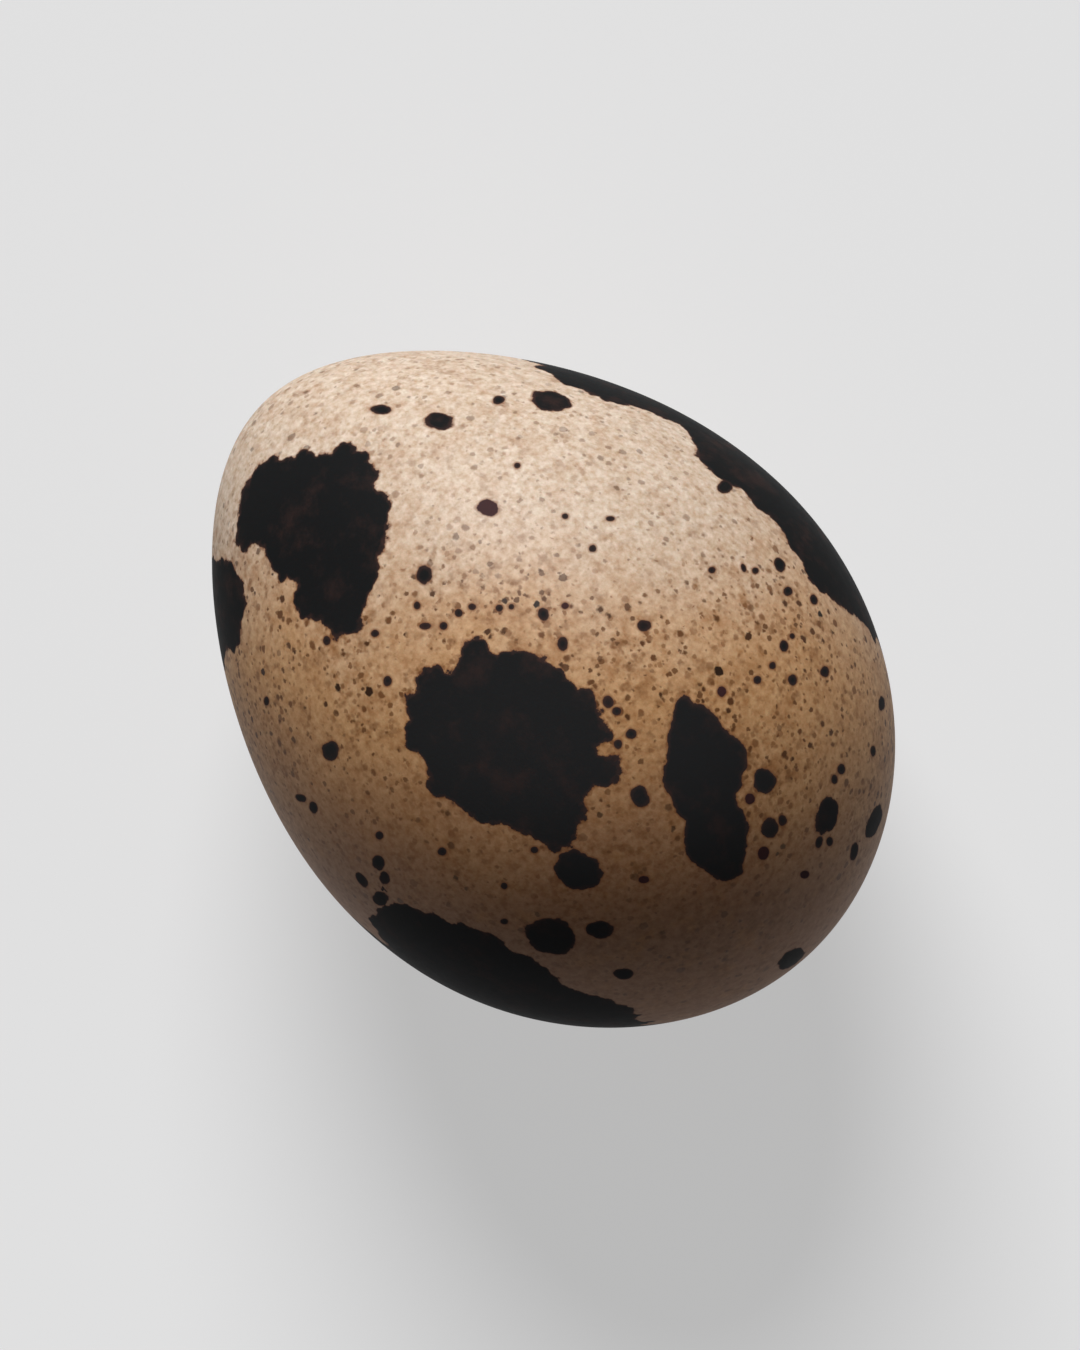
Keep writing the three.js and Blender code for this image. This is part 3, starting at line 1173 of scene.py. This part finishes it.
@dataclass
class QuailEgg:
    """The whole egg: one shell, with its markings and its finish."""

    shape: EggShape
    finish: ShellFinish = field(default_factory=ShellFinish)
    facets_per_side: int = 126
    unevenness: float = 0.05  # how far the shell dips below the outline's rule
    unevenness_size: float = 9.0
    map_gap: float = 0.02  # the margin round each square of the UV map, as a share of its size

    def build(self) -> bpy.types.Object:
        """Makes the egg's object.

        Returns:
            The finished piece, at the origin, with its place in its mesh.
        """
        material = ShellMaterial(self.finish).build()
        mesh = self._grown_mesh(material)
        egg = bpy.data.objects.new("quail_egg_shell", mesh)
        bpy.context.scene.collection.objects.link(egg)
        self._mark(mesh)
        self._unroll(mesh)
        return egg

    def _grown_mesh(self, material: bpy.types.Material) -> bpy.types.Mesh:
        """Runs the Geometry Nodes tree and keeps its result as a plain mesh."""
        tree = self._body_tree(material)
        seed_mesh = bpy.data.meshes.new("seed")
        seed = bpy.data.objects.new("seed", seed_mesh)
        bpy.context.scene.collection.objects.link(seed)
        modifier = seed.modifiers.new("body", "NODES")
        modifier.node_group = tree
        values = {
            "Length": self.shape.length * MM,
            "Girth scale": self.shape.radius_scale() * MM,
            "Taper": self.shape.taper,
            "End draw-in": self.shape.end_draw_in,
            "Middle": Vector((self.shape.middle_x, 0.0, self.shape.axis_height)) * MM,
            "Facets per side": self.facets_per_side,
            "Unevenness": self.unevenness * MM,
            "Unevenness size": self.unevenness_size * MM,
        }
        for item in tree.interface.items_tree:
            if item.in_out == "INPUT" and item.name in values:
                modifier[item.identifier] = values[item.name]
        bpy.context.view_layer.update()
        depsgraph = bpy.context.evaluated_depsgraph_get()
        mesh = bpy.data.meshes.new_from_object(seed.evaluated_get(depsgraph), depsgraph=depsgraph)
        mesh.name = "quail_egg_shell"
        bpy.data.objects.remove(seed)
        bpy.data.meshes.remove(seed_mesh)
        return mesh

    @staticmethod
    def _body_tree(material: bpy.types.Material) -> bpy.types.NodeTree:
        """The tree that grows the shell: a cube made round, given the egg's outline and a flat."""
        tree = bpy.data.node_groups.new("Egg body", "GeometryNodeTree")
        face = tree.interface
        face.new_socket("Geometry", in_out="OUTPUT", socket_type="NodeSocketGeometry")
        sizes = ("Length", "Girth scale", "Taper", "End draw-in", "Unevenness", "Unevenness size")
        for name in sizes:
            face.new_socket(name, in_out="INPUT", socket_type="NodeSocketFloat")
        face.new_socket("Middle", in_out="INPUT", socket_type="NodeSocketVector")
        face.new_socket("Facets per side", in_out="INPUT", socket_type="NodeSocketInt")
        g = Graph(tree)
        given = g.node("NodeGroupInput").outputs

        edges = g.math("ADD", given["Facets per side"], 1.0)
        # The tangent spreads the cube's points, so that they are evenly apart on the ball.
        cube = g.node(
            "GeometryNodeMeshCube",
            {"Size": (2.0,) * 3, "Vertices X": edges, "Vertices Y": edges, "Vertices Z": edges},
        )
        position = g.node("GeometryNodeInputPosition").outputs[0]
        even = g.vector_math("TANGENT", g.scaled(position, math.pi / 4))
        ball = g.node(
            "GeometryNodeSetPosition",
            {"Geometry": cube.outputs[0], "Position": g.vector_math("NORMALIZE", even)},
        )

        along = g.node("ShaderNodeSeparateXYZ", {0: position}).outputs[0]
        inner = g.math("MULTIPLY_ADD", along, given["End draw-in"], given["Taper"])
        fullness = g.math("MULTIPLY_ADD", inner, along, 1.0)
        girth = g.math("MULTIPLY", fullness, given["Girth scale"])
        half_length = g.math("MULTIPLY", given["Length"], 0.5)
        stretch = g.node("ShaderNodeCombineXYZ", {0: half_length, 1: girth, 2: girth}).outputs[0]
        placed = g.vector_math("ADD", g.vector_math("MULTIPLY", position, stretch), given["Middle"])
        egg = g.node("GeometryNodeSetPosition", {"Geometry": ball.outputs[0], "Position": placed})

        frequency = g.math("DIVIDE", 1.0, given["Unevenness size"])
        wave = g.noise(g.scaled(position, frequency), 1.0, 2.0).outputs[0]
        dip = g.math("MULTIPLY", g.math("MULTIPLY", wave, -1.0), given["Unevenness"])
        normal = g.node("GeometryNodeInputNormal").outputs[0]
        uneven = g.node(
            "GeometryNodeSetPosition", {"Geometry": egg.outputs[0], "Offset": g.scaled(normal, dip)}
        )

        on_floor = g.vector_math("MAXIMUM", position, (-1.0, -1.0, 0.0))
        rested = g.node(
            "GeometryNodeSetPosition", {"Geometry": uneven.outputs[0], "Position": on_floor}
        )
        smooth = g.node("GeometryNodeSetShadeSmooth", {"Geometry": rested.outputs[0]})
        real = g.node("GeometryNodeRealizeInstances", {"Geometry": smooth.outputs[0]})
        dressed = g.node(
            "GeometryNodeSetMaterial", {"Geometry": real.outputs[0], "Material": material}
        )
        g.node("NodeGroupOutput", {"Geometry": dressed.outputs[0]})
        return tree

    @staticmethod
    def _points(mesh: bpy.types.Mesh) -> np.ndarray:
        """The mesh's points, in millimetres."""
        points = np.empty(len(mesh.vertices) * 3)
        mesh.vertices.foreach_get("co", points)
        return points.reshape(-1, 3) / MM

    def _unroll(self, mesh: bpy.types.Mesh) -> None:
        """Gives the shell a UV map: a square for each side of the cube that it came from."""
        corners = np.empty(len(mesh.loops), np.int32)
        mesh.loops.foreach_get("vertex_index", corners)
        points = self._points(mesh) - (self.shape.middle_x, 0.0, self.shape.axis_height)
        station = points[:, 0] / (self.shape.length / 2)
        girth = self.shape.radius_scale() * self.shape.fullness(station)
        ball = np.column_stack([station, points[:, 1] / girth, points[:, 2] / girth])[corners]
        ball = ball.reshape(len(mesh.polygons), -1, 3)
        middles = ball.mean(axis=1)
        side = np.abs(middles).argmax(axis=1)
        faces = np.arange(len(side))
        outward = ball[faces, :, side]
        across = ball[faces, :, (side + 1) % 3]
        along = ball[faces, :, (side + 2) % 3]
        row = middles[faces, side] > 0
        square = np.arctan(np.stack([across, along]) / np.abs(outward)) * 4 / math.pi
        u, v = (square * (1 - self.map_gap) + 1) / 2
        places = np.stack([(u + side[:, None]) / 3, (v + row[:, None]) / 2], axis=-1)
        unrolled = mesh.uv_layers.new(name=BAKE_MAP)
        unrolled.uv.foreach_set("vector", places.astype(np.float32).ravel())

    def _mark(self, mesh: bpy.types.Mesh) -> None:
        """Measures the markings over the mesh and keeps them as attributes."""
        underside = Underside(self.shape)
        charts = {View.FROM_ABOVE: PlanChart(self.shape), View.ROLLED_OUT: RollChart(self.shape)}
        blotches = (*BLOTCHES, *underside.blotches())
        spots = (*SPOTS, *underside.spots())
        markings = Markings(charts, blotches, spots)
        for name, values in markings.measure(self._points(mesh)).items():
            kind, key = ("FLOAT_VECTOR", "vector") if values.ndim == 2 else ("FLOAT", "value")
            kept = mesh.attributes.new(name, kind, "POINT")
            kept.data.foreach_set(key, values.astype(np.float32).ravel())
        log.info("%d blotches and %d spots", len(blotches), len(spots))


# ---------------------------------------------------------------------------------------------
# The studio
# ---------------------------------------------------------------------------------------------


@dataclass(frozen=True)
class Lamp:
    """A far soft light, aimed at the egg."""

    name: str
    azimuth_deg: float  # where the light stands, counted from +X toward +Y
    elevation_deg: float
    spread_deg: float
    strength: float


@dataclass
class Studio:
    """A pale floor, a pale surround, soft lights and the camera."""

    shape: EggShape
    floor_radius_m: float = 6.0
    floor_corners: int = 96
    floor_colour: Colour = (0.34, 0.34, 0.343)
    floor_glow: float = 0.47  # as on a light table, which keeps the shadow pale
    floor_light: float = 0.06  # how strongly that glow lights the egg
    painted_shadow_reach: float = 12.0  # how far from the rest spot the glow is weaker: painted shadow
    painted_shadow_glow: float = 0.12  # the glow's share left at the rest spot, in the painted shadow
    surround: Colour = (0.745, 0.735, 0.74)
    surround_light: float = 0.06
    camera_height_m: float = 0.6
    sensor_width: float = 28.8
    view_width: float = 46.0
    lamps: tuple[Lamp, ...] = (
        Lamp("key", azimuth_deg=-36.0, elevation_deg=36.0, spread_deg=32.0, strength=4.0),
    )

    def build(self) -> None:
        """Makes the whole studio."""
        self._floor()
        self._surround()
        for lamp in self.lamps:
            self._light(lamp)
        self._camera()

    def _floor(self) -> None:
        """Makes the floor, as a wide disc at the height that the egg rests on."""
        count, radius = self.floor_corners, self.floor_radius_m
        angles = [2 * math.pi * n / count for n in range(count)]
        rim = [(radius * math.cos(a), radius * math.sin(a), 0.0) for a in angles]
        mesh = bpy.data.meshes.new("floor")
        mesh.from_pydata(rim, [], [tuple(range(count))])
        floor = bpy.data.objects.new("floor", mesh)
        bpy.context.scene.collection.objects.link(floor)
        material = bpy.data.materials.new("pale_floor")
        material.use_nodes = True
        g = Graph(material.node_tree)
        is_light = g.node("ShaderNodeLightPath").outputs["Is Diffuse Ray"]
        glow = g.mix(is_light, (self.floor_glow,) * 3, (self.floor_light,) * 3)
        # The glow fades near the rest spot: a painted contact shadow on the floor.
        place = g.node("ShaderNodeTexCoord").outputs["Object"]
        away = g.node("ShaderNodeVectorMath", {0: place}, operation="LENGTH").outputs["Value"]
        glow = g.scaled(glow, g.ramp(away, 0.0, self.painted_shadow_reach * MM, self.painted_shadow_glow, 1.0))
        surface = g.node(
            "ShaderNodeBsdfPrincipled",
            {"Base Color": (*self.floor_colour, 1.0), "Roughness": 0.9, "Specular IOR Level": 0.0,
             "Emission Color": glow, "Emission Strength": 1.0},
        )
        g.node("ShaderNodeOutputMaterial", {"Surface": surface.outputs[0]})
        mesh.materials.append(material)

    def _surround(self) -> None:
        """Sets the world: pale to look at, and weaker as a light."""
        world = bpy.data.worlds.new("surround")
        bpy.context.scene.world = world
        world.use_nodes = True
        g = Graph(world.node_tree)
        seen = g.node("ShaderNodeBackground", {"Color": (*self.surround, 1.0), "Strength": 1.0})
        white = {"Color": (1.0, 1.0, 1.0, 1.0), "Strength": self.surround_light}
        light = g.node("ShaderNodeBackground", white)
        to_camera = g.node("ShaderNodeLightPath").outputs["Is Camera Ray"]
        choice = {0: to_camera, 1: light.outputs[0], 2: seen.outputs[0]}
        both = g.node("ShaderNodeMixShader", choice)
        g.node("ShaderNodeOutputWorld", {"Surface": both.outputs[0]})

    @staticmethod
    def _light(lamp: Lamp) -> None:
        """Makes one far light."""
        data = bpy.data.lights.new(lamp.name, "SUN")
        data.energy = lamp.strength
        data.angle = math.radians(lamp.spread_deg)
        light = bpy.data.objects.new(lamp.name, data)
        azimuth, elevation = math.radians(lamp.azimuth_deg), math.radians(lamp.elevation_deg)
        from_egg = Vector((
            math.cos(azimuth) * math.cos(elevation),
            math.sin(azimuth) * math.cos(elevation),
            math.sin(elevation),
        ))
        light.rotation_euler = from_egg.to_track_quat("Z", "Y").to_euler()
        light.location = from_egg
        bpy.context.scene.collection.objects.link(light)

    def _camera(self) -> None:
        """Makes the camera, which looks straight down with the sheet's up as its own."""
        data = bpy.data.cameras.new("camera")
        data.sensor_fit = "HORIZONTAL"
        data.sensor_width = self.sensor_width
        distance_m = self.camera_height_m - self.shape.axis_height * MM
        data.lens = data.sensor_width * distance_m / (self.view_width * MM)
        camera = bpy.data.objects.new("camera", data)
        c, s = math.cos(SHEET_TURN), math.sin(SHEET_TURN)
        turn = Matrix(((c, -s, 0.0), (s, c, 0.0), (0.0, 0.0, 1.0))).to_4x4()
        place = Matrix.Translation((self.shape.middle_x * MM, 0.0, self.camera_height_m))
        camera.matrix_world = place @ turn
        bpy.context.scene.collection.objects.link(camera)
        bpy.context.scene.camera = camera


def main() -> None:
    """Builds the studio and the egg, and ties the egg to the frame."""
    logging.basicConfig(level=logging.INFO, format="%(name)s: %(message)s")
    shape = EggShape.from_box(*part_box(NODE))
    bpy.context.scene.view_settings.view_transform = "Standard"
    Studio(shape).build()
    log.info("studio built")
    egg = QuailEgg(shape).build()
    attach(egg, "root")
    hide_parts(NODE)
    log.info("%s: %d faces", egg.name, len(egg.data.polygons))


if __name__ == "__main__":
    main()
